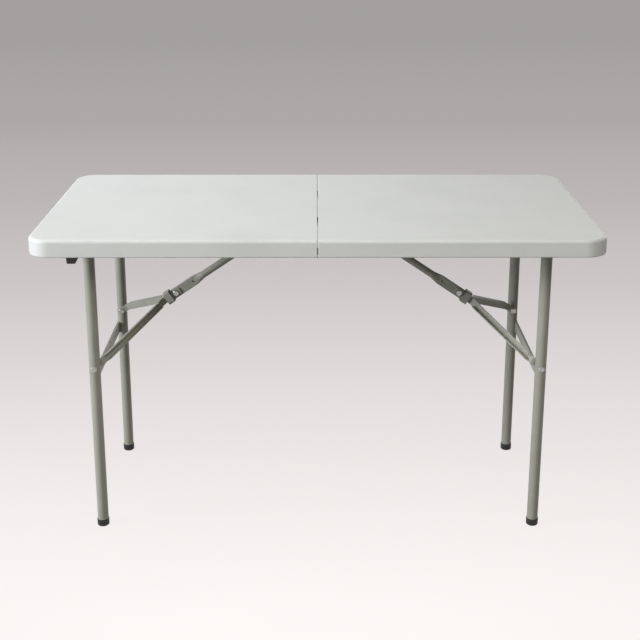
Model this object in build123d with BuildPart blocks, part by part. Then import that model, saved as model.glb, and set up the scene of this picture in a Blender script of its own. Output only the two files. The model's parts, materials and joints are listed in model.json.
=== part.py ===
"""Fold-in-half table: a blow-moulded top in two halves on two folding tube leg frames."""

import os
from math import atan2, cos, hypot, sin

from build123d import *

os.makedirs("parts", exist_ok=True)

# Frame: origin on the floor under the centre, X along the table, front at -Y, millimetres.
# The right half is modelled and the left half is its mirror image.
LENGTH = 1220
WIDTH = 610
HEIGHT = 720

# Top halves
EDGE = 38  # height of the rim
SKIN = 7  # thickness of the top above the recess
RIM = 27
SEAM_RIM = 26
SEAM_GAP = 2
CORNER_R = 48
TOP_EDGE_R = 7
BOTTOM_EDGE_R = 3
SEAM_EDGE_R = 1.5
RECESS_R = 24
RECESS_DRAFT = 5
DIMPLE_R = 13
DIMPLE_DEPTH = 2.5
DIMPLE_STEP = 92
DIMPLE_COLUMNS = 4
DIMPLE_ROWS = 5
NOTCH_W = 34  # gap in the seam rim for a folded leg
NOTCH_H = 27

# Leg frames
LEG_X = 499
LEG_Y = 195
LEG_R = 12.5
WALL = 1
PIVOT_BELOW_CEILING = 19
PIVOT_R = 11
RUNNING_GAP = 0.1
BUTT_Z = 239  # where the lower leg plugs into the upper leg
BUTT_CHAMFER = 0.6
SPIGOT = 55
CAP_R = 13.75
CAP_H = 17
CAP_FLOOR = 4
SADDLE_Y = 140
SADDLE_W = 26
SADDLE_WALL = 2.5
SADDLE_FLANGE = 66
SADDLE_CORNER_R = 6.5

# Brace
RIVET_Z = 392  # brace rivet in the leg
STRUT_X = 53  # strut pivot under the top
STRUT_BELOW_CEILING = 17
STRUT_R = 8.5
STRUT_WALL = 1.2
FLAT_W = 24.5
FLAT_T = 5
FLAT_EDGE_R = 2.2
FLAT_END = 56  # the flattened stretch above the brace rivet
TAPER_END = 78
TAIL = 27  # the flattened stretch below the brace rivet
DRAIN_AT = 50
DRAIN_R = 2.2
PIN_R = 3
PIN_HEAD_R = 6
BRACKET_EAR = 2
EAR_CLEARANCE = 0.5
BRACKET_L = 46
BRACKET_W = 50
EAR_R = 9
ARM_T = 2.5
ARM_H = 16
ARM_GAP = 0.3  # arm to strut, and arm to leg
NECK_END = 12  # the arm above the brace rivet
NECK_CORNER_R = 2
NECK = 34
TAB = 20
ARM_BEND_R = 9
ARM_FLANGE = 10
FLANGE_START = 12
FLANGE_END = 4
CROSSBAR_BELOW_RIVET = 31
CROSSBAR_OUT = 7.3  # the crossbar's web, outboard of the middle of the legs
CROSSBAR_D = 5
CROSSBAR_H = 26
CROSSBAR_T = 1.5
RIVET_R = 4
HEAD_R = 7
HEAD_H = 2.5
RING_L = 15.5
RING_START = 12  # near end of the ring, below the brace rivet
RING_HALF_H = 13.6
RING_HALF_W = 9.2
RING_WALL = 1.8
RING_CORNER_R = 4.5

# Centre hinges and closing clip
HINGE_BELOW_RIM = 4
HINGE_YS = (-255, 0, 255)
HINGE_L = 50
LEAF_W = 25
LEAF_T = 1.7
KNUCKLE_R = 3.5
HINGE_PIN_R = 1.6
KNUCKLE_GAP = 0.4
CLIP_X = 512.5
CLIP_Y = -294
CLIP_TOP_W = 27
CLIP_TIP_W = 18
CLIP_LEAN = 3.5  # the tip's shift towards the end of the table
CLIP_H = 14.5
CLIP_D = 13
CLIP_TIP_D = 9
SOCKET_DEPTH = 6
SOCKET_ROOM = 2

RIM_Z = HEIGHT - EDGE
CEILING_Z = HEIGHT - SKIN
PIVOT_Z = CEILING_Z - PIVOT_BELOW_CEILING
HINGE_Z = RIM_Z - HINGE_BELOW_RIM
LEG_TOP_Z = PIVOT_Z + LEG_R
ENDS = {"front": -1, "rear": 1}

# The strut, the arms and the leg make a four-bar fold. With the leg folded flat the strut lies level
# under the top, which sets where along the straight brace the brace rivet is.
STRUT_Z = CEILING_Z - STRUT_BELOW_CEILING
BRACE_RUN = LEG_X - STRUT_X
BRACE_RISE = STRUT_Z - RIVET_Z
BRACE_LENGTH = hypot(BRACE_RUN, BRACE_RISE)
FOLDED_RIVET_X = LEG_X - (PIVOT_Z - RIVET_Z)
FOLDED_RUN = FOLDED_RIVET_X - STRUT_X
FOLDED_RISE = STRUT_Z - PIVOT_Z
ARM_LENGTH = ((BRACE_LENGTH - FOLDED_RUN) ** 2 + FOLDED_RISE**2) / (2 * (BRACE_LENGTH - FOLDED_RUN))
STRUT_LENGTH = BRACE_LENGTH - ARM_LENGTH
SLOPE = atan2(BRACE_RISE, BRACE_RUN)
JOINT = Vector(LEG_X - ARM_LENGTH * cos(SLOPE), 0, RIVET_Z + ARM_LENGTH * sin(SLOPE))
DOWN = Vector(cos(SLOPE), 0, -sin(SLOPE))  # along the brace, from the brace rivet to the leg

# Planes on the brace, with their origin at the brace rivet
SIDE = Plane(origin=JOINT, x_dir=DOWN, z_dir=(0, -1, 0))  # x down the brace, y square to it
PLAN = Plane(origin=JOINT, x_dir=DOWN, z_dir=(sin(SLOPE), 0, cos(SLOPE)))  # y is the table's Y


def across(distance):
    """Plane square to the brace, at a distance up the strut from the brace rivet."""
    return Plane(origin=JOINT - DOWN * distance, x_dir=(0, 1, 0), z_dir=DOWN * -1)


def upright(y):
    """Plane facing the front, at a depth y, in the table's own X and Z."""
    return Plane.XZ.offset(-y)


def save(solid, node):
    solid.label = node
    export_step(solid, f"parts/{node}.step")


def save_pair(solid, node):
    save(solid, f"right_{node}")
    save(mirror(solid, about=Plane.YZ), f"left_{node}")


# Top halves: rim, recess that takes the folded legs, notches in the seam rim, dimpled ceiling
with BuildPart() as top:
    with BuildSketch(Plane.XY.offset(RIM_Z)) as outline:
        with Locations((SEAM_GAP / 2, 0)):
            Rectangle((LENGTH - SEAM_GAP) / 2, WIDTH, align=(Align.MIN, Align.CENTER))
        fillet(outline.vertices().group_by(Axis.X)[-1], CORNER_R)
    extrude(amount=EDGE)
    fillet(top.edges().group_by(Axis.Z)[-1].filter_by(lambda e: e.center().X > SEAM_GAP), TOP_EDGE_R)
    fillet(top.edges().group_by(Axis.Z)[0].filter_by(lambda e: e.center().X > SEAM_GAP), BOTTOM_EDGE_R)
    fillet(top.edges().filter_by(Axis.Y).group_by(Axis.Z)[-1].sort_by(Axis.X)[0], SEAM_EDGE_R)
    with BuildSketch(Plane.XY.offset(RIM_Z)) as recess:
        with Locations((SEAM_GAP / 2 + SEAM_RIM, 0)):
            Rectangle(
                (LENGTH - SEAM_GAP) / 2 - SEAM_RIM - RIM, WIDTH - 2 * RIM, align=(Align.MIN, Align.CENTER)
            )
        fillet(recess.vertices(), RECESS_R)
    extrude(amount=EDGE - SKIN, taper=RECESS_DRAFT, mode=Mode.SUBTRACT)
    with BuildSketch(Plane.XY.offset(RIM_Z)):
        with GridLocations(0, 2 * LEG_Y, 1, 2):
            Rectangle(2 * SEAM_RIM + 2 * DIMPLE_R, NOTCH_W)
    extrude(amount=NOTCH_H, mode=Mode.SUBTRACT)
    with BuildSketch(Plane.XY.offset(CEILING_Z)):
        with Locations((LENGTH / 4, 0)):
            with GridLocations(DIMPLE_STEP, DIMPLE_STEP, DIMPLE_COLUMNS, DIMPLE_ROWS):
                Circle(DIMPLE_R)
    extrude(amount=DIMPLE_DEPTH, taper=2 * RECESS_DRAFT, mode=Mode.SUBTRACT)

with BuildPart() as right_top:
    add(top.part)
    with BuildSketch(Plane.XY.offset(RIM_Z)):
        with Locations((CLIP_X, CLIP_Y)):
            RectangleRounded(CLIP_TOP_W + 2 * SOCKET_ROOM, CLIP_D + SOCKET_ROOM, SOCKET_ROOM)
    extrude(amount=SOCKET_DEPTH, mode=Mode.SUBTRACT)

save(right_top.part, "right_top")
save(mirror(top.part, about=Plane.YZ), "left_top")

# Leg pivot tube, coped at both ends to the round of the legs
with BuildPart() as pivot_tube:
    with BuildSketch(Plane.XZ):
        with Locations((LEG_X, PIVOT_Z)):
            Circle(PIVOT_R)
            Circle(PIVOT_R - WALL, mode=Mode.SUBTRACT)
    extrude(amount=LEG_Y, both=True)
    with BuildSketch(Plane.XY.offset(RIM_Z - LEG_R)):
        with Locations((LEG_X, 0)):
            with GridLocations(0, 2 * LEG_Y, 1, 2):
                Circle(LEG_R)
    extrude(amount=EDGE + LEG_R, mode=Mode.SUBTRACT)

save_pair(pivot_tube.part, "leg_pivot_tube")

for end, facing in ENDS.items():
    leg_place = (LEG_X, facing * LEG_Y)

    # Saddle that hangs the pivot tube under the top
    with BuildPart() as saddle:
        with BuildSketch(upright(facing * SADDLE_Y)):
            with Locations((LEG_X, PIVOT_Z)):
                Circle(PIVOT_R + SADDLE_WALL)
                Rectangle(2 * (PIVOT_R + SADDLE_WALL), PIVOT_BELOW_CEILING, align=(Align.CENTER, Align.MIN))
            with Locations((LEG_X, CEILING_Z)):
                Rectangle(SADDLE_FLANGE, SADDLE_WALL, align=(Align.CENTER, Align.MAX))
            with Locations((LEG_X, PIVOT_Z)):
                Circle(PIVOT_R + RUNNING_GAP, mode=Mode.SUBTRACT)
        extrude(amount=SADDLE_W / 2, both=True)
        corners = saddle.edges().filter_by(Axis.Z)
        fillet(corners.group_by(Axis.X)[0] + corners.group_by(Axis.X)[-1], SADDLE_CORNER_R)

    save_pair(saddle.part, f"{end}_leg_saddle")

    # Upper leg: a tube closed at the top, drilled across for the brace rivet
    with BuildPart() as upper_leg:
        with BuildSketch(Plane.XY.offset(BUTT_Z)):
            with Locations(leg_place):
                Circle(LEG_R)
        extrude(amount=LEG_TOP_Z - BUTT_Z)
        fillet(upper_leg.edges().group_by(Axis.Z)[-1], 2 * WALL)
        chamfer(upper_leg.edges().group_by(Axis.Z)[0], BUTT_CHAMFER)
        with BuildSketch(Plane.XY.offset(BUTT_Z)):
            with Locations(leg_place):
                Circle(LEG_R - WALL)
        extrude(amount=LEG_TOP_Z - BUTT_Z - 3 * WALL, mode=Mode.SUBTRACT)
        with BuildSketch(upright(facing * LEG_Y)):
            with Locations((LEG_X, RIVET_Z)):
                Circle(RIVET_R)
        extrude(amount=2 * LEG_R, both=True, mode=Mode.SUBTRACT)

    save_pair(upper_leg.part, f"{end}_upper_leg")

    # Lower leg: a tube of the same outside size, necked down into a spigot
    with BuildPart() as lower_leg:
        with BuildSketch(Plane.XY.offset(CAP_FLOOR)):
            with Locations(leg_place):
                Circle(LEG_R)
        extrude(amount=BUTT_Z - CAP_FLOOR)
        chamfer(lower_leg.edges().group_by(Axis.Z)[-1], BUTT_CHAMFER)
        with BuildSketch(Plane.XY.offset(BUTT_Z - LEG_R)):
            with Locations(leg_place):
                Circle(LEG_R - WALL - RUNNING_GAP)
        extrude(amount=LEG_R + SPIGOT)
        chamfer(lower_leg.edges().group_by(Axis.Z)[-1], WALL)
        with BuildSketch(Plane.XY.offset(CAP_FLOOR)):
            with Locations(leg_place):
                Circle(LEG_R - 3 * WALL)
        extrude(amount=BUTT_Z + SPIGOT - CAP_FLOOR, mode=Mode.SUBTRACT)

    save_pair(lower_leg.part, f"{end}_lower_leg")

    # Foot cap: a cup pushed over the end of the lower leg
    with BuildPart() as foot_cap:
        with BuildSketch():
            with Locations(leg_place):
                Circle(CAP_R)
        extrude(amount=CAP_H)
        fillet(foot_cap.edges().group_by(Axis.Z)[0], CAP_FLOOR)
        chamfer(foot_cap.edges().group_by(Axis.Z)[-1], WALL / 2)
        with BuildSketch(Plane.XY.offset(CAP_FLOOR)):
            with Locations(leg_place):
                Circle(LEG_R)
        extrude(amount=CAP_H, mode=Mode.SUBTRACT)

    save_pair(foot_cap.part, f"{end}_foot_cap")

# Leg rivets: a domed head saddled on the outside of the leg, the shank through the tube
with BuildPart() as leg_rivets:
    for facing in ENDS.values():
        with BuildSketch(upright(facing * LEG_Y)):
            with Locations((LEG_X, RIVET_Z)):
                Circle(HEAD_R)
        extrude(amount=-facing * (LEG_R + HEAD_H))
    heads = leg_rivets.faces().filter_by(Axis.Y)
    fillet((heads.sort_by(Axis.Y)[0].edges() + heads.sort_by(Axis.Y)[-1].edges()), HEAD_H - WALL / 2)
    with BuildSketch(Plane.XY.offset(RIVET_Z - 2 * LEG_R)):
        with Locations((LEG_X, 0)):
            with GridLocations(0, 2 * LEG_Y, 1, 2):
                Circle(LEG_R)
    extrude(amount=4 * LEG_R, mode=Mode.SUBTRACT)
    for facing in ENDS.values():
        with BuildSketch(upright(facing * LEG_Y)):
            with Locations((LEG_X, RIVET_Z)):
                Circle(RIVET_R)
        extrude(amount=LEG_R, both=True)

save_pair(leg_rivets.part, "leg_rivets")

# Brace strut: a round tube with a rounded eye at the top, pressed flat where the arms clasp it
with BuildPart() as strut:
    with BuildSketch(across(TAPER_END)):
        Circle(STRUT_R)
    extrude(amount=STRUT_LENGTH - TAPER_END)
    with BuildSketch(SIDE):
        with Locations((-STRUT_LENGTH, 0)):
            Circle(STRUT_R)
    extrude(amount=STRUT_R, both=True)
    with BuildSketch(across(TAPER_END - STRUT_R)):
        Circle(STRUT_R - STRUT_WALL)
    extrude(amount=STRUT_LENGTH, mode=Mode.SUBTRACT)
    with BuildSketch(across(FLAT_END)):
        RectangleRounded(FLAT_T, FLAT_W, FLAT_EDGE_R)
    with BuildSketch(across(TAPER_END)):
        Circle(STRUT_R)
    loft()
    with BuildSketch(across(-TAIL)):
        RectangleRounded(FLAT_T, FLAT_W, FLAT_EDGE_R)
    extrude(amount=TAIL + FLAT_END)
    with BuildSketch(SIDE):
        Circle(RIVET_R + RUNNING_GAP / 2)
        with Locations((-STRUT_LENGTH, 0)):
            Circle(PIN_R + RUNNING_GAP / 2)
        with Locations((-DRAIN_AT, 0)):
            Circle(DRAIN_R)
    extrude(amount=2 * STRUT_R, both=True, mode=Mode.SUBTRACT)

save_pair(strut.part, "brace_strut")

# Strut bracket: a base under the top with an ear on each side of the strut, and its pin
EAR_Y = STRUT_R + EAR_CLEARANCE
with BuildPart() as strut_bracket:
    with BuildSketch(Plane.XY.offset(CEILING_Z - BRACKET_EAR)):
        with Locations((STRUT_X, 0)):
            RectangleRounded(BRACKET_L, BRACKET_W, EAR_R)
    extrude(amount=BRACKET_EAR)
    for facing in ENDS.values():
        with BuildSketch(upright(facing * EAR_Y)):
            with Locations((STRUT_X, STRUT_Z)):
                Circle(EAR_R)
                Rectangle(2 * EAR_R, STRUT_BELOW_CEILING - BRACKET_EAR, align=(Align.CENTER, Align.MIN))
                Circle(PIN_R, mode=Mode.SUBTRACT)
        extrude(amount=-facing * BRACKET_EAR)

save_pair(strut_bracket.part, "strut_bracket")

with BuildPart() as strut_pin:
    with BuildSketch(upright(0)):
        with Locations((STRUT_X, STRUT_Z)):
            Circle(PIN_R)
    extrude(amount=EAR_Y + BRACKET_EAR, both=True)
    for facing in ENDS.values():
        with BuildSketch(upright(facing * (EAR_Y + BRACKET_EAR))):
            with Locations((STRUT_X, STRUT_Z)):
                Circle(PIN_HEAD_R)
        extrude(amount=-facing * BRACKET_EAR)

save_pair(strut_pin.part, "strut_pin")

# Crossbar between the legs: a shallow channel, its open side outboard, coped to the round of the legs.
# It lies under the strut when the leg frame is folded.
CROSSBAR_TOP = (LEG_X + CROSSBAR_OUT, RIVET_Z - CROSSBAR_BELOW_RIVET)
with BuildPart() as crossbar:
    with BuildSketch(upright(0)):
        with Locations(CROSSBAR_TOP):
            Rectangle(CROSSBAR_D, CROSSBAR_H, align=(Align.MIN, Align.MAX))
        with Locations((CROSSBAR_TOP[0] + CROSSBAR_T, CROSSBAR_TOP[1] - CROSSBAR_T)):
            Rectangle(
                CROSSBAR_D, CROSSBAR_H - 2 * CROSSBAR_T, align=(Align.MIN, Align.MAX), mode=Mode.SUBTRACT
            )
    extrude(amount=LEG_Y - LEG_R / 3, both=True)
    with BuildSketch(Plane.XY.offset(CROSSBAR_TOP[1] - 2 * CROSSBAR_H)):
        with Locations((LEG_X, 0)):
            with GridLocations(0, 2 * LEG_Y, 1, 2):
                Circle(LEG_R)
    extrude(amount=3 * CROSSBAR_H, mode=Mode.SUBTRACT)

save_pair(crossbar.part, "brace_crossbar")

# Brace arms: pressed channel on edge, bent out from the neck to the tab at the leg, its flanges outside
NECK_Y = FLAT_T / 2 + ARM_GAP + ARM_T / 2
TAB_Y = LEG_Y - LEG_R - ARM_GAP - ARM_T / 2
BEND_IN = Vector(NECK, NECK_Y)
BEND_OUT = Vector(ARM_LENGTH - TAB, TAB_Y)
RUN = (BEND_OUT - BEND_IN).normalized()
OUTWARD = Vector(-RUN.Y, RUN.X) * ARM_FLANGE  # square to the run, from the strip out of the Y of the brace
FLANGE_FROM = BEND_IN + RUN * FLANGE_START
FLANGE_TO = BEND_OUT - RUN * FLANGE_END
FLANGE_CORNERS = (
    FLANGE_FROM,
    FLANGE_FROM + RUN * ARM_FLANGE + OUTWARD,
    FLANGE_TO - RUN * ARM_FLANGE + OUTWARD,
    FLANGE_TO,
)
with BuildPart() as rear_arm:
    with BuildLine(PLAN) as arm_line:
        FilletPolyline(
            (-NECK_END, NECK_Y),
            (BEND_IN.X, BEND_IN.Y),
            (BEND_OUT.X, BEND_OUT.Y),
            (ARM_LENGTH + ARM_H / 2, TAB_Y),
            radius=ARM_BEND_R,
        )
    with BuildSketch(Plane(origin=arm_line.line @ 0, x_dir=(0, 1, 0), z_dir=DOWN)):
        Rectangle(ARM_T, ARM_H)
    sweep()
    end_corners = rear_arm.edges().filter_by(Axis.Y).sort_by(Axis.X)
    fillet(end_corners[:2], NECK_CORNER_R)
    fillet(end_corners[-2:], ARM_H / 2 - ARM_GAP)
    for edge_of_strip in (ARM_T - ARM_H / 2, ARM_H / 2):
        with BuildSketch(PLAN.offset(edge_of_strip)):
            Polygon(*[(corner.X, corner.Y) for corner in FLANGE_CORNERS], align=None)
        extrude(amount=-ARM_T)
    with BuildSketch(SIDE):
        Circle(RIVET_R)
        with Locations((ARM_LENGTH, 0)):
            Circle(RIVET_R)
    extrude(amount=LEG_Y, both=True, mode=Mode.SUBTRACT)

save_pair(rear_arm.part, "rear_brace_arm")
save_pair(mirror(rear_arm.part, about=Plane.XZ), "front_brace_arm")

# Brace rivet through the arms and the strut, and the rivet heads on the tabs
with BuildPart() as brace_rivet:
    with BuildSketch(SIDE):
        Circle(RIVET_R)
    extrude(amount=NECK_Y + ARM_T / 2, both=True)
    for facing in ENDS.values():
        with BuildSketch(SIDE.offset(-facing * (NECK_Y + ARM_T / 2))):
            Circle(HEAD_R)
        extrude(amount=-facing * HEAD_H)
    heads = brace_rivet.faces().filter_by(Axis.Y)
    fillet((heads.sort_by(Axis.Y)[0].edges() + heads.sort_by(Axis.Y)[-1].edges()), HEAD_H - WALL / 2)

save_pair(brace_rivet.part, "brace_rivet")

with BuildPart() as arm_rivets:
    for facing in ENDS.values():
        inner = facing * (TAB_Y - ARM_T / 2)
        with BuildSketch(SIDE.offset(-inner)):
            with Locations((ARM_LENGTH, 0)):
                Circle(RIVET_R)
        extrude(amount=-facing * ARM_T)
        with BuildSketch(SIDE.offset(-inner)):
            with Locations((ARM_LENGTH, 0)):
                Circle(HEAD_R)
        extrude(amount=facing * HEAD_H)
    heads = arm_rivets.faces().filter_by(Axis.Y).filter_by(lambda f: abs(f.center().Y) < TAB_Y - ARM_T)
    fillet(heads.edges(), HEAD_H - WALL / 2)

save_pair(arm_rivets.part, "arm_rivets")

# Lock ring: a loop that slides along the strut and holds the arms in line with it
with BuildPart() as lock_ring:
    with BuildSketch(across(-RING_START - RING_L)):
        RectangleRounded(2 * (RING_HALF_W + RING_WALL), 2 * (RING_HALF_H + RING_WALL), RING_CORNER_R)
        RectangleRounded(2 * RING_HALF_W, 2 * RING_HALF_H, RING_CORNER_R - RING_WALL, mode=Mode.SUBTRACT)
    extrude(amount=RING_L)

save_pair(lock_ring.part, "lock_ring")

# Centre hinges: the right leaf has the middle knuckle, the left leaf the two outer ones
KNUCKLE_L = HINGE_L / 3


def hinge_leaf(side, knuckle_places, hole_r):
    """Leaves under the seam rim on one side, with their knuckles round the hinge line."""
    with BuildPart() as leaves:
        for y in HINGE_YS:
            with BuildSketch(Plane.XY.offset(RIM_Z - LEAF_T)):
                with Locations((side * (KNUCKLE_R + KNUCKLE_GAP), y)):
                    Rectangle(LEAF_W, HINGE_L, align=(Align.MIN if side > 0 else Align.MAX, Align.CENTER))
            extrude(amount=LEAF_T)
            for place in knuckle_places:
                with BuildSketch(upright(y + place * KNUCKLE_L)):
                    with Locations((0, HINGE_Z)):
                        Circle(KNUCKLE_R)
                    with Locations((0, RIM_Z)):
                        Rectangle(
                            KNUCKLE_R + 2 * KNUCKLE_GAP,
                            HINGE_BELOW_RIM,
                            align=(Align.MIN if side > 0 else Align.MAX, Align.MAX),
                        )
                    with Locations((0, HINGE_Z)):
                        Circle(hole_r, mode=Mode.SUBTRACT)
                extrude(amount=(KNUCKLE_L - KNUCKLE_GAP) / 2, both=True)
    return leaves.part


save(hinge_leaf(1, (0,), HINGE_PIN_R + RUNNING_GAP / 2), "right_hinge_leaves")
save(hinge_leaf(-1, (-1, 1), HINGE_PIN_R), "left_hinge_leaves")

with BuildPart() as hinge_pins:
    for y in HINGE_YS:
        with BuildSketch(upright(y)):
            with Locations((0, HINGE_Z)):
                Circle(HINGE_PIN_R)
        extrude(amount=HINGE_L / 2, both=True)

save(hinge_pins.part, "hinge_pins")

# Closing clip under the front rim of the left half
with BuildPart() as closing_clip:
    with BuildSketch(Plane.XY.offset(RIM_Z)):
        with Locations((-CLIP_X, CLIP_Y)):
            RectangleRounded(CLIP_TOP_W, CLIP_D, BOTTOM_EDGE_R)
    with BuildSketch(Plane.XY.offset(RIM_Z - CLIP_H)):
        with Locations((-CLIP_X - CLIP_LEAN, CLIP_Y)):
            RectangleRounded(CLIP_TIP_W, CLIP_TIP_D, BOTTOM_EDGE_R)
    loft()
    fillet(closing_clip.edges().group_by(Axis.Z)[0], WALL)

save(closing_clip.part, "closing_clip")
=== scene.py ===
"""Looks of the fold-in-half table: plastic, paint and metal finishes, screws, welds, stage, camera."""

import json
from math import cos, pi, radians, sin, sqrt, tau

import bmesh
import bpy
from mathutils import Matrix, Vector

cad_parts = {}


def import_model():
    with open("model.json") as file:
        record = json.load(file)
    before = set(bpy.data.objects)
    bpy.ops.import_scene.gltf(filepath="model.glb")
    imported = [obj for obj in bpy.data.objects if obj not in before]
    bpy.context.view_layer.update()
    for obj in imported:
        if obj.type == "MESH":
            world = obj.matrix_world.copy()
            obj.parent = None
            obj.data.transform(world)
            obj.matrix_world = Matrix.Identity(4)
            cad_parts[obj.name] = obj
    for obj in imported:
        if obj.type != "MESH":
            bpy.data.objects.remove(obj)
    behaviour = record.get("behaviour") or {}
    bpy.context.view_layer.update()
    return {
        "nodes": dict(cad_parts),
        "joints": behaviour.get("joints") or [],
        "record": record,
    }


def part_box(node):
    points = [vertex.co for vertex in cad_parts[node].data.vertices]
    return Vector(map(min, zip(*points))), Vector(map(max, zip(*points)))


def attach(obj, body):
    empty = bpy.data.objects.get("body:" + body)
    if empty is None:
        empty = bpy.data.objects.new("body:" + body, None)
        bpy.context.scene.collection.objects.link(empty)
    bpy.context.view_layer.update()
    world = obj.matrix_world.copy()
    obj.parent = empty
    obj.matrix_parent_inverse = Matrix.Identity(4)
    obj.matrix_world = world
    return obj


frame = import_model()

SIDES = ("left", "right")
ENDS = {"front": -1, "rear": 1}

# Sizes in metres that the CAD boxes don't give directly
LEG_R = 0.0125
PIVOT_R = 0.011
SADDLE_FLANGE_T = 0.0025
BRACKET_T = 0.002
HINGE_L = 0.05
LEAF_T = 0.0017
DRAIN_AT = 0.05  # from the brace rivet, along the strut
DRAIN_WALL_R = 0.0023
DRAIN_WALL_Y = (0.0013, 0.0024)

# Screws: radius and height of the head, and where they sit as shares of the piece that they hold
SADDLE_SCREW = (0.0042, 0.0022)
SADDLE_SCREW_INSET = 0.12
BRACKET_SCREW = (0.0036, 0.002)
BRACKET_SCREW_AT = (0.36, 0.38)  # from the middle of the bracket
HINGE_SCREW = (0.003, 0.0011)
HINGE_SCREW_X = (0.42, 0.8)
HINGE_SCREW_DY = 0.016  # metres, from the middle of the leaf
ROUND_STEPS = 24
SCREW_DOME_STEPS = 5
SCREW_DOME_END = radians(62)
SCREW_RIM = 0.35  # share of the head's radius and height that isn't dome
SCREW_TURN = 0.7  # how far each screw is turned from the last
RECESS_REACH = 0.52  # of the cross recess, as shares of the head's radius and height
RECESS_HALF_W = 0.13
RECESS_TAPER = 0.7
RECESS_DEPTH = 0.6

# Weld beads
PIVOT_WELD_R = 0.0013
PIVOT_WELD_STEPS = 48
CROSSBAR_WELD_R = 0.001
CROSSBAR_WELD_STEPS = 8  # along a flange, twice as many along the web
WELD_SIDES = 8
WELD_RIPPLE = 0.18
WELD_RIPPLE_TURN = 2.4  # radians of the ripple from one point to the next

# Camera, fitted to the top's corners, the feet and the rivets in a frame of 640 x 640 pixels
FRAME_PX = 640
FOCAL_PX = 1175.3
CENTRE_X_PX = -2.2
CENTRE_Y_PX = -80.0
CAMERA_AT = (-0.0051, -2.6419, 1.4010)
CAMERA_PITCH = radians(16.22)
CAMERA_YAW = radians(0.12)
SENSOR = 36.0

# Floor tone by distance from the front of the table, as sRGB levels
FLOOR_SIZE = 60.0
FLOOR_CENTRE = (0.0, -0.6)
FLOOR_TONES = ((0.1, 254), (0.85, 235), (1.4, 220), (2.2, 203), (3.4, 187), (5.6, 172), (10.0, 163))
FLOOR_WARMTH = (1.0, 0.983, 0.979)
FLOOR_ROUGHNESS = 0.9
FLOOR_BREADTH = 0.3  # share of a sideways distance that counts
FLOOR_GLOW = 0.94  # share of the tone that no shadow takes away, near the table
FLOOR_GLOW_FROM = 0.8
FLOOR_GLOW_TO = 1.3
FLOOR_BOUNCE = 0.14

# Light: sky, backdrop, and lamps as name, place, aim, width, power and tint
SKY_TINT = (1.0, 0.95, 0.80, 1.0)
SKY_STRENGTH = 0.09
BACKDROP_LEVELS = (163, 159, 158)
LAMPS = (
    ("key", (-4.1, -1.5, 1.4), (0, 0, 0.45), 1.7, 148, (0.97, 1.0, 1.04)),
    ("rear overhead", (-0.8, 0.6, 2.3), (-0.3, 0, 0.7), 2.2, 21, (0.98, 1.0, 1.05)),
    ("front overhead", (0.2, -2.4, 2.8), (0, 0, 0.6), 1.6, 40, (1.0, 0.985, 0.93)),
    ("right fill", (2.7, -2.5, 1.4), (0, 0, 0.5), 1.4, 3, (1.0, 0.96, 0.84)),
    ("rear fill", (3.2, 3.4, 1.7), (0, 0, 0.5), 2.0, 46, (1.0, 0.97, 0.9)),
)

# Span of a noise that holds nearly all of its values
NOISE_SPAN = (0.3, 0.7)


def linear(level):
    """Linear value of an sRGB level from 0 to 255."""
    c = level / 255
    return c / 12.92 if c <= 0.04045 else ((c + 0.055) / 1.055) ** 2.4


def colour(*levels):
    return tuple(linear(v) for v in levels) + (1.0,)


# Materials


class Finish:
    """A node material with a Principled shader and helpers for procedural texture."""

    def __init__(self, name, base, roughness, metallic=0.0):
        self.material = bpy.data.materials.new(name)
        self.material.use_nodes = True
        self.tree = self.material.node_tree
        self.shader = self.tree.nodes["Principled BSDF"]
        self.shader.inputs["Base Color"].default_value = base
        self.shader.inputs["Roughness"].default_value = roughness
        self.shader.inputs["Metallic"].default_value = metallic
        self.material.diffuse_color = base
        self.place = self.node("ShaderNodeTexCoord").outputs["Object"]

    def node(self, kind, **settings):
        made = self.tree.nodes.new(kind)
        for key, value in settings.items():
            setattr(made, key, value)
        return made

    def link(self, source, target):
        self.tree.links.new(source, target)

    def noise(self, scale, detail=3.0, stretch=(1, 1, 1)):
        """Noise over the object, with a scale in features per metre."""
        mapping = self.node("ShaderNodeMapping")
        mapping.inputs["Scale"].default_value = stretch
        noise = self.node("ShaderNodeTexNoise")
        noise.inputs["Scale"].default_value = scale
        noise.inputs["Detail"].default_value = detail
        self.link(self.place, mapping.inputs["Vector"])
        self.link(mapping.outputs["Vector"], noise.inputs["Vector"])
        return noise.outputs["Fac"]

    def ramp(self, source, stops):
        """Colour ramp with stops of (position, colour)."""
        ramp = self.node("ShaderNodeValToRGB")
        while len(ramp.color_ramp.elements) < len(stops):
            ramp.color_ramp.elements.new(0.5)
        for element, (position, value) in zip(ramp.color_ramp.elements, stops):
            element.position = position
            element.color = value
        self.link(source, ramp.inputs["Fac"])
        return ramp.outputs["Color"]

    def levels(self, source, low, high):
        """Numbers from low to high over the span of a noise."""
        return self.spread(source, *NOISE_SPAN, low, high)

    def spread(self, source, from_low, from_high, low, high):
        """Numbers from low to high as the source goes over a range."""
        spread = self.node("ShaderNodeMapRange")
        values = (from_low, from_high, low, high)
        for key, value in zip(("From Min", "From Max", "To Min", "To Max"), values):
            spread.inputs[key].default_value = value
        self.link(source, spread.inputs["Value"])
        return spread.outputs["Result"]

    def bump(self, source, strength, height):
        bump = self.node("ShaderNodeBump")
        bump.inputs["Strength"].default_value = strength
        bump.inputs["Distance"].default_value = height
        self.link(source, bump.inputs["Height"])
        previous = self.shader.inputs["Normal"]
        if previous.is_linked:
            self.link(previous.links[0].from_socket, bump.inputs["Normal"])
        self.link(bump.outputs["Normal"], previous)


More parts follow.
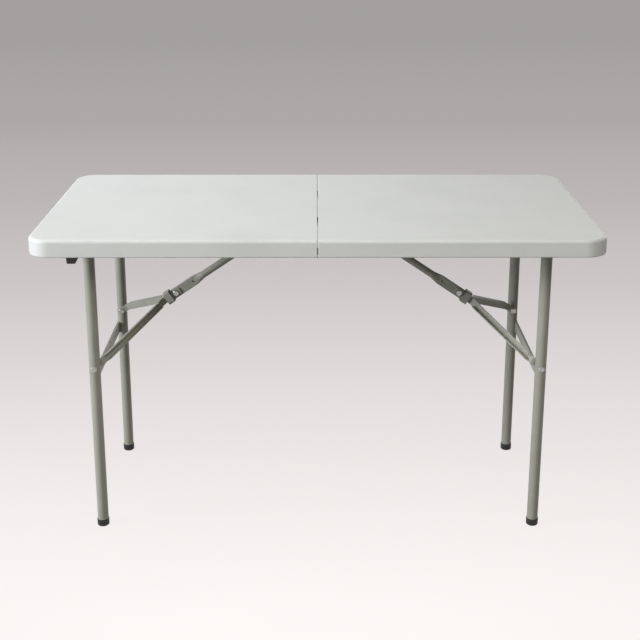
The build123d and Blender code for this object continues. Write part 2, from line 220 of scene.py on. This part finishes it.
def top_plastic():
    """White polyethylene with a fine pebbled grain, faint clouding and rub marks."""
    made = Finish("top_plastic", colour(226, 228, 226), 0.52)
    clouds = (
        (0.3, colour(224, 226, 224)),
        (0.55, colour(229, 231, 229)),
        (0.8, colour(225, 227, 224)),
    )
    tint = made.ramp(made.noise(5, 4), clouds)
    made.link(tint, made.shader.inputs["Base Color"])
    made.link(made.levels(made.noise(26, 5, (1, 5, 1)), 0.46, 0.60), made.shader.inputs["Roughness"])
    made.bump(made.noise(520, 2), 0.22, 0.0005)
    made.bump(made.noise(7, 2), 0.08, 0.004)
    return made.material


def grey_paint():
    """Grey powder coat with a slight orange peel."""
    made = Finish("grey_paint", colour(170, 170, 159), 0.42)
    clouds = (
        (0.3, colour(167, 167, 156)),
        (0.55, colour(173, 173, 162)),
        (0.8, colour(169, 169, 158)),
    )
    tint = made.ramp(made.noise(18, 4), clouds)
    made.link(tint, made.shader.inputs["Base Color"])
    made.link(made.levels(made.noise(60, 3), 0.36, 0.48), made.shader.inputs["Roughness"])
    made.shader.inputs["Specular IOR Level"].default_value = 0.28
    made.bump(made.noise(620, 2), 0.10, 0.0003)
    return made.material


def zinc():
    """Dull zinc plate with faint cloudy patches."""
    made = Finish("zinc", colour(176, 177, 174), 0.36, metallic=1.0)
    tint = made.ramp(made.noise(160, 3), ((0.3, colour(162, 163, 160)), (0.7, colour(190, 190, 186))))
    made.link(tint, made.shader.inputs["Base Color"])
    made.link(made.levels(made.noise(260, 3), 0.30, 0.44), made.shader.inputs["Roughness"])
    made.bump(made.noise(900, 2), 0.06, 0.0002)
    return made.material


def black_plastic():
    """Black moulded plastic with a spark-eroded grain."""
    made = Finish("black_plastic", colour(22, 22, 23), 0.50)
    tint = made.ramp(made.noise(90, 3), ((0.3, colour(18, 18, 19)), (0.7, colour(27, 27, 28))))
    made.link(tint, made.shader.inputs["Base Color"])
    made.link(made.levels(made.noise(140, 3), 0.42, 0.58), made.shader.inputs["Roughness"])
    made.bump(made.noise(1400, 2), 0.25, 0.0003)
    return made.material


MATERIALS = {
    "top_plastic": top_plastic(),
    "grey_paint": grey_paint(),
    "zinc": zinc(),
    "black_plastic": black_plastic(),
}
for part in frame["record"]["subparts"]:
    for slot in frame["nodes"][part["node"]].material_slots:
        slot.material = MATERIALS[part["material_slot"]]


# Small pieces that the CAD leaves out


def add_piece(name, mesh, body, slot):
    piece = bpy.data.objects.new(name, mesh)
    bpy.context.collection.objects.link(piece)
    piece.data.materials.append(MATERIALS[slot])
    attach(piece, body)


def new_mesh(name, bm):
    """Smooth-shaded mesh from a bmesh, with its faces turned outwards."""
    bmesh.ops.recalc_face_normals(bm, faces=bm.faces)
    mesh = bpy.data.meshes.new(name)
    bm.to_mesh(mesh)
    bm.free()
    mesh.polygons.foreach_set("use_smooth", [True] * len(mesh.polygons))
    return mesh


def skirt(bm, low, high):
    """Faces between two rings of as many vertices."""
    for k in range(len(low)):
        n = (k + 1) % len(low)
        bm.faces.new((low[k], low[n], high[n], high[k]))


def outline_edges(bm, ring):
    """Edges round a ring of vertices, made where they are missing."""
    pairs = [(ring[k - 1], ring[k]) for k in range(len(ring))]
    return [bm.edges.get(pair) or bm.edges.new(pair) for pair in pairs]


def screw(bm, matrix, radius, height):
    """Pan head with a cross recess, its flat side on the local XY plane and its dome along local Z."""
    profile = [(radius, 0)]
    for k in range(SCREW_DOME_STEPS + 1):
        angle = SCREW_DOME_END * k / SCREW_DOME_STEPS
        across = SCREW_RIM + (1 - SCREW_RIM) * cos(angle)
        up = SCREW_RIM + (1 - SCREW_RIM) * sin(angle)
        profile.append((radius * across, height * up))
    rings = []
    for ring_radius, z in profile:
        ring = []
        for k in range(ROUND_STEPS):
            angle = tau * k / ROUND_STEPS
            spot = Vector((ring_radius * cos(angle), ring_radius * sin(angle), z))
            ring.append(bm.verts.new(matrix @ spot))
        rings.append(ring)
    for low, high in zip(rings, rings[1:]):
        skirt(bm, low, high)
    bm.faces.new(rings[0])

    arm, half = radius * RECESS_REACH, radius * RECESS_HALF_W
    corner = [(arm, -half), (arm, half), (half, half)]
    cross = []
    for quarter in range(4):
        turn = Matrix.Rotation(quarter * pi / 2, 2)
        cross += [turn @ Vector(point) for point in corner]
    top = profile[-1][1]
    floor_z = top - height * RECESS_DEPTH
    rim = [bm.verts.new(matrix @ Vector((*point, top))) for point in cross]
    pit = [bm.verts.new(matrix @ Vector((*(point * RECESS_TAPER), floor_z))) for point in cross]
    edges = outline_edges(bm, rings[-1]) + outline_edges(bm, rim)
    bmesh.ops.triangle_fill(bm, use_beauty=True, edges=edges)
    skirt(bm, rim, pit)
    bm.faces.new(pit)


def screws(name, body, places, radius, height):
    """Screws hanging head down at the given places, as one piece."""
    bm = bmesh.new()
    for k, place in enumerate(places):
        turn = Matrix.Rotation(pi, 4, "X") @ Matrix.Rotation(SCREW_TURN * k, 4, "Z")
        screw(bm, Matrix.Translation(place) @ turn, radius, height)
    add_piece(name, new_mesh(name, bm), body, "zinc")


def bead(name, body, points, radius, closed=True):
    """Weld bead: a rippled tube along points, run round on itself or ended at both ends."""
    bm = bmesh.new()
    count = len(points)
    last = count - 1
    rings = []
    for k, point in enumerate(points):
        before = points[k - 1] if closed else points[max(k - 1, 0)]
        after = points[(k + 1) % count] if closed else points[min(k + 1, last)]
        along = (after - before).normalized()
        side = along.orthogonal().normalized()
        up = along.cross(side)
        size = radius * (1 + WELD_RIPPLE * sin(WELD_RIPPLE_TURN * k))
        ring = []
        for s in range(WELD_SIDES):
            angle = tau * s / WELD_SIDES
            ring.append(bm.verts.new(point + (side * cos(angle) + up * sin(angle)) * size))
        rings.append(ring)
    for k in range(count if closed else last):
        a, b = rings[k], rings[(k + 1) % count]
        shift = min(range(WELD_SIDES), key=lambda s: (b[s].co - a[0].co).length)
        for s in range(WELD_SIDES):
            n = (s + 1) % WELD_SIDES
            bm.faces.new((a[s], a[n], b[(n + shift) % WELD_SIDES], b[(s + shift) % WELD_SIDES]))
    if not closed:
        bm.faces.new(rings[0])
        bm.faces.new(rings[last])
    add_piece(name, new_mesh(name, bm), body, "grey_paint")


def saddle_screws(side):
    places = []
    for end in ENDS:
        low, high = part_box(f"{side}_{end}_leg_saddle")
        inset = (high.x - low.x) * SADDLE_SCREW_INSET
        for x in (low.x + inset, high.x - inset):
            places.append(Vector((x, (low.y + high.y) / 2, high.z - SADDLE_FLANGE_T)))
    screws(f"{side}_saddle_screws", f"{side}_half", places, *SADDLE_SCREW)


def bracket_screws(side):
    low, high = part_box(f"{side}_strut_bracket")
    middle = (low + high) / 2
    out_x, out_y = BRACKET_SCREW_AT
    places = []
    for x in (-out_x, out_x):
        for y in (-out_y, out_y):
            spot = middle + Vector(((high.x - low.x) * x, (high.y - low.y) * y, 0))
            places.append(Vector((spot.x, spot.y, high.z - BRACKET_T)))
    screws(f"{side}_bracket_screws", f"{side}_half", places, *BRACKET_SCREW)


def drain_wall(side):
    """Rear wall of the flattened strut, which closes its drain hole behind."""
    places = {joint["name"]: Vector(joint["pos_m"]) for joint in frame["joints"] if "pos_m" in joint}
    rivet = places[f"{side}_arms_fold"]
    spot = rivet + (places[f"{side}_strut_swing"] - rivet).normalized() * DRAIN_AT
    bm = bmesh.new()
    rings = []
    for y in DRAIN_WALL_Y:
        ring = []
        for k in range(ROUND_STEPS):
            angle = tau * k / ROUND_STEPS
            out = Vector((DRAIN_WALL_R * cos(angle), y, DRAIN_WALL_R * sin(angle)))
            ring.append(bm.verts.new(spot + out))
        rings.append(ring)
        bm.faces.new(ring)
    skirt(bm, *rings)
    name = f"{side}_drain_wall"
    add_piece(name, new_mesh(name, bm), f"{side}_strut", "grey_paint")


def hinge_screws(side):
    low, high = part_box(f"{side}_hinge_leaves")
    leaf_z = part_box(f"{side}_top")[0].z - LEAF_T
    outer = high.x if side == "right" else low.x
    places = []
    for y in (low.y + HINGE_L / 2, 0.0, high.y - HINGE_L / 2):
        for x in HINGE_SCREW_X:
            for dy in (-HINGE_SCREW_DY, HINGE_SCREW_DY):
                places.append(Vector((outer * x, y + dy, leaf_z)))
    screws(f"{side}_hinge_screws", f"{side}_half", places, *HINGE_SCREW)


def pivot_welds(side):
    """Beads round the coped ends of the pivot tube, on the legs."""
    low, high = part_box(f"{side}_leg_pivot_tube")
    x, z = (low.x + high.x) / 2, (low.z + high.z) / 2
    for end, facing in ENDS.items():
        leg_low, leg_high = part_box(f"{side}_{end}_upper_leg")
        leg_y = (leg_low.y + leg_high.y) / 2
        points = []
        for k in range(PIVOT_WELD_STEPS):
            angle = tau * k / PIVOT_WELD_STEPS
            across = PIVOT_R * cos(angle)
            cope = sqrt(LEG_R**2 - across**2)
            points.append(Vector((x + across, leg_y - facing * cope, z + PIVOT_R * sin(angle))))
        bead(f"{side}_{end}_pivot_weld", f"{side}_leg_frame", points, PIVOT_WELD_R)


def crossbar_welds(side):
    """Beads round the web and flanges of the crossbar where its ends are coped to the legs."""
    low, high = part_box(f"{side}_brace_crossbar")
    web, tip = (low.x, high.x) if side == "right" else (high.x, low.x)
    for end, facing in ENDS.items():
        leg_low, leg_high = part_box(f"{side}_{end}_upper_leg")
        leg = (leg_low + leg_high) / 2
        steps = CROSSBAR_WELD_STEPS
        path = []
        for k in range(steps):
            path.append((tip + (web - tip) * k / steps, low.z))
        for k in range(2 * steps):
            path.append((web, low.z + (high.z - low.z) * k / (2 * steps)))
        for k in range(steps + 1):
            path.append((web + (tip - web) * k / steps, high.z))
        points = []
        for x, z in path:
            cope = sqrt(LEG_R**2 - (x - leg.x) ** 2)
            points.append(Vector((x, leg.y - facing * cope, z)))
        bead(f"{side}_{end}_crossbar_weld", f"{side}_leg_frame", points, CROSSBAR_WELD_R, closed=False)


for side in SIDES:
    saddle_screws(side)
    bracket_screws(side)
    hinge_screws(side)
    pivot_welds(side)
    crossbar_welds(side)
    drain_wall(side)


# Stage, light and camera


def shows_stage(tree):
    """Output that is 1 for rays from the camera and for those that mirror or pass the stage on to it."""
    rays = tree.nodes.new("ShaderNodeLightPath")
    seen = rays.outputs["Is Camera Ray"]
    for kind in ("Is Glossy Ray", "Is Transmission Ray"):
        either = tree.nodes.new("ShaderNodeMath")
        either.operation = "MAXIMUM"
        tree.links.new(seen, either.inputs[0])
        tree.links.new(rays.outputs[kind], either.inputs[1])
        seen = either.outputs[0]
    return seen


def floor():
    """Floor that fades with distance, keeps the table's shadow and can be looked through from below."""
    mesh = bpy.data.meshes.new("floor")
    half = FLOOR_SIZE / 2
    corners = [(-half, -half, 0), (half, -half, 0), (half, half, 0), (-half, half, 0)]
    mesh.from_pydata(corners, [], [(0, 1, 2, 3)])
    plane = bpy.data.objects.new("floor", mesh)
    bpy.context.collection.objects.link(plane)

    made = Finish("floor", colour(235, 233, 232), FLOOR_ROUGHNESS)
    spread = made.node("ShaderNodeMapping")
    spread.inputs["Scale"].default_value = (FLOOR_BREADTH, 1, 1)
    made.link(made.place, spread.inputs["Vector"])
    offset = made.node("ShaderNodeVectorMath", operation="DISTANCE")
    offset.inputs[1].default_value = (*FLOOR_CENTRE, 0)
    made.link(spread.outputs["Vector"], offset.inputs[0])
    distance = offset.outputs["Value"]
    reach = FLOOR_TONES[-1][0]
    scaled = made.node("ShaderNodeMath", operation="DIVIDE")
    scaled.inputs[1].default_value = reach
    made.link(distance, scaled.inputs[0])
    stops = []
    for place, level in FLOOR_TONES:
        tone = [linear(level * w) for w in FLOOR_WARMTH]
        stops.append((place / reach, (*tone, 1.0)))
    tint = made.ramp(scaled.outputs[0], stops)

    seen = shows_stage(made.tree)
    bounce = made.node("ShaderNodeMix", data_type="RGBA")
    bounce.inputs["A"].default_value = (FLOOR_BOUNCE, FLOOR_BOUNCE, FLOOR_BOUNCE, 1)
    made.link(seen, bounce.inputs["Factor"])
    made.link(tint, bounce.inputs["B"])
    made.link(bounce.outputs["Result"], made.shader.inputs["Base Color"])

    glow = made.node("ShaderNodeEmission")
    made.link(tint, glow.inputs["Color"])
    share = made.spread(distance, FLOOR_GLOW_FROM, FLOOR_GLOW_TO, FLOOR_GLOW, 1.0)
    glow_share = made.node("ShaderNodeMath", operation="MULTIPLY")
    made.link(share, glow_share.inputs[0])
    made.link(seen, glow_share.inputs[1])
    lit = made.node("ShaderNodeMixShader")
    made.link(glow_share.outputs[0], lit.inputs["Fac"])
    made.link(made.shader.outputs[0], lit.inputs[1])
    made.link(glow.outputs[0], lit.inputs[2])
    side = made.node("ShaderNodeNewGeometry")
    clear = made.node("ShaderNodeBsdfTransparent")
    shown = made.node("ShaderNodeMixShader")
    made.link(side.outputs["Backfacing"], shown.inputs["Fac"])
    made.link(lit.outputs[0], shown.inputs[1])
    made.link(clear.outputs[0], shown.inputs[2])
    made.link(shown.outputs[0], made.tree.nodes["Material Output"].inputs["Surface"])
    mesh.materials.append(made.material)


def area_light(name, at, aim, size, power, tint):
    light = bpy.data.lights.new(name, "AREA")
    light.shape = "DISK"
    light.size = size
    light.energy = power
    light.color = tint
    lamp = bpy.data.objects.new(name, light)
    lamp.location = at
    lamp.rotation_euler = (Vector(aim) - Vector(at)).to_track_quat("-Z", "Y").to_euler()
    bpy.context.collection.objects.link(lamp)


def world():
    sky = bpy.data.worlds.new("studio")
    sky.use_nodes = True
    tree = sky.node_tree
    background = tree.nodes["Background"]
    background.inputs["Color"].default_value = SKY_TINT
    background.inputs["Strength"].default_value = SKY_STRENGTH
    backdrop = tree.nodes.new("ShaderNodeBackground")
    backdrop.inputs["Color"].default_value = colour(*BACKDROP_LEVELS)
    mix = tree.nodes.new("ShaderNodeMixShader")
    tree.links.new(shows_stage(tree), mix.inputs["Fac"])
    tree.links.new(background.outputs[0], mix.inputs[1])
    tree.links.new(backdrop.outputs[0], mix.inputs[2])
    tree.links.new(mix.outputs[0], tree.nodes["World Output"].inputs["Surface"])
    bpy.context.scene.world = sky


def camera():
    data = bpy.data.cameras.new("camera")
    data.sensor_width = SENSOR
    data.lens = FOCAL_PX / FRAME_PX * SENSOR
    data.shift_x = -CENTRE_X_PX / FRAME_PX
    data.shift_y = CENTRE_Y_PX / FRAME_PX
    made = bpy.data.objects.new("camera", data)
    made.location = CAMERA_AT
    made.rotation_euler = (pi / 2 - CAMERA_PITCH, 0, -CAMERA_YAW)
    bpy.context.collection.objects.link(made)
    bpy.context.scene.camera = made


floor()
world()
for lamp in LAMPS:
    area_light(*lamp)
camera()
bpy.context.scene.view_settings.view_transform = "Standard"
